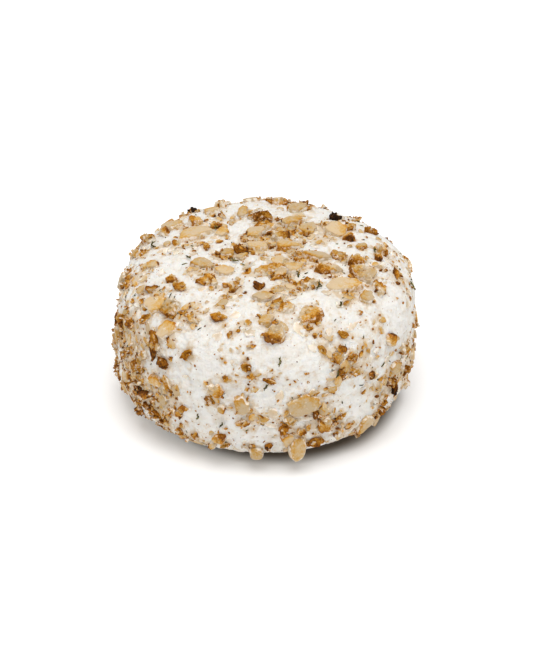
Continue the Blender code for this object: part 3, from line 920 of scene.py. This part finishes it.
# The colour of nut at each step of browning, and the range of browning that the steps share
NUT_SHADES = (
    (-0.6, PALE_KERNEL), (-0.25, TAN_KERNEL), (0.1, GOLDEN_SKIN), (0.45, SKIN_BROWN),
    (0.95, DARK_BROWN), (1.6, BLACK_BROWN),
)
SHADE_FROM, SHADE_TO = -0.7, 1.8
# The sizes of the nut's patterns in mm: blotches, streaks, smeared curd, curd that covers, and grain
BLOTCH_SIZE, STREAK_SIZE, SMUDGE_SIZE, COVER_SIZE, NUT_GRAIN_SIZE = 1.1, 0.42, 0.9, 2.2, 0.35
# How much browner or paler the blotches and streaks are, and the span of noise that they are drawn from
BLOTCH, STREAK, NOISE_SPAN = 0.48, 0.42, (0.25, 0.75)
# How dark and how light a piece may be, how much more smeared its rim is, and how much a smear covers
TONES, RIM_SMUDGE, SMUDGE_COVER = (0.86, 1.08), 0.2, 0.8
# The spans of noise over which a smear and the covering curd set in, and the browning that has no smear
SMUDGE_SPAN, COVER_SPAN, UNSMEARED = (0.60, 0.80), (0.3, 0.7), 0.5
# The material of each object of nut: its name, roughness, how much light goes into it, how deep its grain
# is, how uneven its browning is, and how much curd covers it
NUT_FINISHES = {
    "kernel_flakes": ("kernel", 0.45, 0.3, 0.06 * MM, 0.6, 0.0),
    "nut_chunks": ("broken_nut", 0.5, 0.15, 0.14 * MM, 0.9, 0.0),
    "skin_chips": ("nut_skin", 0.55, 0.0, 0.16 * MM, 1.0, 0.0),
    "kernel_films": ("kernel_film", 0.5, 0.4, 0.05 * MM, 0.5, 0.4),
    "nut_crumbs": ("nut_crumb", 0.55, 0.0, 0.08 * MM, 1.0, 0.0),
}


def nut_browning(tree, where, unevenness):
    """The piece's own browning with blotches and streaks in it."""
    blotch = noise_node(tree, where, BLOTCH_SIZE, 3, 0.6)
    blotch = ranged(tree, blotch, *NOISE_SPAN, -BLOTCH * unevenness, BLOTCH * unevenness)
    streak = noise_node(tree, where, STREAK_SIZE, 4, 0.65)
    streak = ranged(tree, streak, *NOISE_SPAN, -STREAK * unevenness, STREAK * unevenness)
    brown = math_node(tree, "ADD", layer_value(tree, "browning"), blotch)
    return math_node(tree, "ADD", brown, streak)


def nut_shade(tree, brown):
    """The colour of nut for this browning."""
    place = add_node(tree, "MapRange", {"Value": brown, "From Min": SHADE_FROM, "From Max": SHADE_TO})
    ramp = add_node(tree, "ValToRGB", {"Fac": place.outputs["Result"]})
    while len(ramp.color_ramp.elements) < len(NUT_SHADES):
        ramp.color_ramp.elements.new(1.0)
    for element, (level, colour) in zip(ramp.color_ramp.elements, NUT_SHADES):
        element.position = (level - SHADE_FROM) / (SHADE_TO - SHADE_FROM)
        element.color = linear(colour)
    return ramp.outputs["Color"]


def nut_material(name, roughness, subsurface, grain_depth, unevenness, covered):
    """Walnut: pale flesh, golden to brown where its skin is, smeared with curd at the edges."""
    material, tree, shader = new_material(name)
    where = millimetres(tree)
    brown = nut_browning(tree, where, unevenness)
    light = ranged(tree, layer_value(tree, "tone"), 0.0, 1.0, *TONES)
    grey = add_node(tree, "CombineColor", {"Red": light, "Green": light, "Blue": light})
    shade = nut_shade(tree, brown)
    colour = mix_colours(tree, 1.0, shade, grey.outputs["Color"], "MULTIPLY")

    smudge = noise_node(tree, where, SMUDGE_SIZE, 4, 0.6)
    at_rim = math_node(tree, "MULTIPLY", layer_value(tree, "smear"), RIM_SMUDGE)
    smudge = math_node(tree, "ADD", smudge, at_rim)
    smudge = ranged(tree, smudge, *SMUDGE_SPAN, 0.0, SMUDGE_COVER)
    pale = ranged(tree, brown, 0.0, UNSMEARED, 1.0, 0.0)
    smudge = math_node(tree, "MULTIPLY", smudge, pale)
    colour = mix_colours(tree, smudge, colour, linear(CURD_SHADE))
    if covered:
        cover = noise_node(tree, where, COVER_SIZE, 3, 0.6)
        cover = ranged(tree, cover, *COVER_SPAN, 0.2 * covered, 1.8 * covered)
        colour = mix_colours(tree, cover, colour, linear(CURD))
    tree.links.new(colour, shader.inputs["Base Color"])
    finish(shader, roughness, 0.1, subsurface, radius=(1.0, 0.7, 0.4), depth=0.5 * MM)
    bump(tree, shader, noise_node(tree, where, NUT_GRAIN_SIZE, 5, 0.65), grain_depth, 0.8)
    return material


def herb_material():
    """Dried herb: dull green, in flecks that are brighter on some slivers."""
    material, tree, shader = new_material("dried_herb")
    where = millimetres(tree)
    light = ranged(tree, layer_value(tree, "tone"), 0.0, 1.0)
    fleck = ranged(tree, noise_node(tree, where, 0.4, 3), 0.35, 0.65)
    light = math_node(tree, "MULTIPLY", light, fleck)
    dark, bright = linear(HERB_GREEN, HERB_DARKEST), linear(HERB_GREEN, HERB_BRIGHTEST)
    tree.links.new(mix_colours(tree, light, dark, bright), shader.inputs["Base Color"])
    finish(shader, 0.7)
    return material


# The studio: even light from all round, and a wide soft lamp overhead, a little to the front
WORLD_LIGHT = 0.68
LAMP_SIZE, LAMP_POWER, LAMP_PLACE = 0.5, 2.5, (0.03, -0.15, 0.57)
# How much the floor glows as painted light, though it is no lamp, and half its width in metres
FLOOR_PAINTED_GLOW, FLOOR_HALF = 0.10, 1.5
# On the floor, in mm: how far from the first middle the painted shadow under the foot thins out, and how
# far from the second the painted glow sets in
PAINTED_SHADOW_MIDDLE, PAINTED_SHADOW_EDGE = (3.0, -0.3, 0), (24.0, 29.0)
PAINTED_GLOW_MIDDLE, PAINTED_GLOW_EDGE = (7.0, -3.0, 0), (26.0, 50.0)


def distance_from(tree, where, middle):
    return add_node(tree, "VectorMath", {0: where, 1: middle}, operation="DISTANCE").outputs["Value"]


def floor_material():
    """A white table with a painted glow that sets in away from the cheese, and a painted shadow where the
    cheese rests on it.
    """
    material, tree, shader = new_material("white_floor")
    where = millimetres(tree)
    # The floor's colour darkens towards the foot: a painted shadow under the cheese
    bare = ranged(tree, distance_from(tree, where, PAINTED_SHADOW_MIDDLE), *PAINTED_SHADOW_EDGE)
    colour = mix_colours(tree, bare, linear(FLOOR_PAINTED_SHADOW), linear(FLOOR_WHITE))
    tree.links.new(colour, shader.inputs["Base Color"])
    shader.inputs["Emission Color"].default_value = (1, 1, 1, 1)
    # Painted light: the floor glows more the farther it is from the cheese, though it is no lamp
    away = distance_from(tree, where, PAINTED_GLOW_MIDDLE)
    painted_glow = ranged(tree, away, *PAINTED_GLOW_EDGE, 0, FLOOR_PAINTED_GLOW)
    tree.links.new(painted_glow, shader.inputs["Emission Strength"])
    finish(shader, 0.8)
    return material


def add_floor():
    corners = [(x * FLOOR_HALF, y * FLOOR_HALF, 0) for x, y in ((-1, -1), (1, -1), (1, 1), (-1, 1))]
    floor = mesh_object("floor", corners, [(0, 1, 2, 3)])
    floor.data.materials.append(floor_material())


# The camera, from a fit to the cheese's outline in a picture 533 by 666 pixels
PICTURE_WIDTH, PICTURE_HEIGHT = 533, 666
FOCAL_PIXELS = 2091.6
CAMERA_DISTANCE, CAMERA_RISE = 462 * MM, radians(33)
AIM = Vector((0, 0, MIDDLE + 1.79 * MM))
AIM_PIXEL = (265.0, 322.6)
SENSOR = 36.0


def add_lights():
    data = bpy.data.lights.new("overhead", "AREA")
    data.shape = "DISK"
    data.size = LAMP_SIZE
    data.energy = LAMP_POWER
    lamp = bpy.data.objects.new("overhead", data)
    lamp.location = LAMP_PLACE
    down = Vector((0, 0, HEIGHT / 2)) - Vector(LAMP_PLACE)
    lamp.rotation_euler = down.to_track_quat("-Z", "Y").to_euler()
    bpy.context.scene.collection.objects.link(lamp)

    world = bpy.data.worlds.new("studio")
    world.use_nodes = True
    background = world.node_tree.nodes["Background"]
    background.inputs["Color"].default_value = (1, 1, 1, 1)
    background.inputs["Strength"].default_value = WORLD_LIGHT
    bpy.context.scene.world = world
    bpy.context.scene.view_settings.view_transform = "Standard"


def add_camera():
    data = bpy.data.cameras.new("camera")
    data.sensor_fit = "VERTICAL"
    data.sensor_height = SENSOR
    data.lens = FOCAL_PIXELS / PICTURE_HEIGHT * SENSOR
    data.shift_x = (PICTURE_WIDTH / 2 - AIM_PIXEL[0]) / PICTURE_HEIGHT
    data.shift_y = -(PICTURE_HEIGHT / 2 - AIM_PIXEL[1]) / PICTURE_HEIGHT
    data.clip_start, data.clip_end = 0.01, 10
    camera = bpy.data.objects.new("camera", data)
    back = Vector((0, -cos(CAMERA_RISE), sin(CAMERA_RISE)))
    camera.location = AIM + back * CAMERA_DISTANCE
    camera.rotation_euler = (-back).to_track_quat("-Z", "Y").to_euler()
    bpy.context.scene.collection.objects.link(camera)
    bpy.context.scene.camera = camera


def main():
    # Vectors of noise start from the clock unless they are given a seed
    noise.seed_set(SEED)
    chosen = chosen_pieces()
    walnuts = largest_first(chosen + scattered_pieces(chosen)) + smaller_pieces()
    curd = make_curd(walnuts)
    curd.data.materials.append(curd_material())
    pieces = [curd]

    walnuts += splinters_of(walnuts)
    numbered = list(enumerate(walnuts + film_pieces()))
    for name, kinds in GROUPS.items():
        parts = [fine_piece(number, *walnut) for number, walnut in numbered if walnut[0] in kinds]
        pieces.append(joined(name, parts, True))
    pieces.append(make_crumbs(walnuts))
    for piece in pieces[1:]:
        piece.data.materials.append(nut_material(*NUT_FINISHES[piece.name]))
    pieces.append(make_herbs())
    pieces[-1].data.materials.append(herb_material())

    for piece in pieces:
        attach(piece, "root")
        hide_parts(NODE)
    add_floor()
    add_lights()
    add_camera()


main()
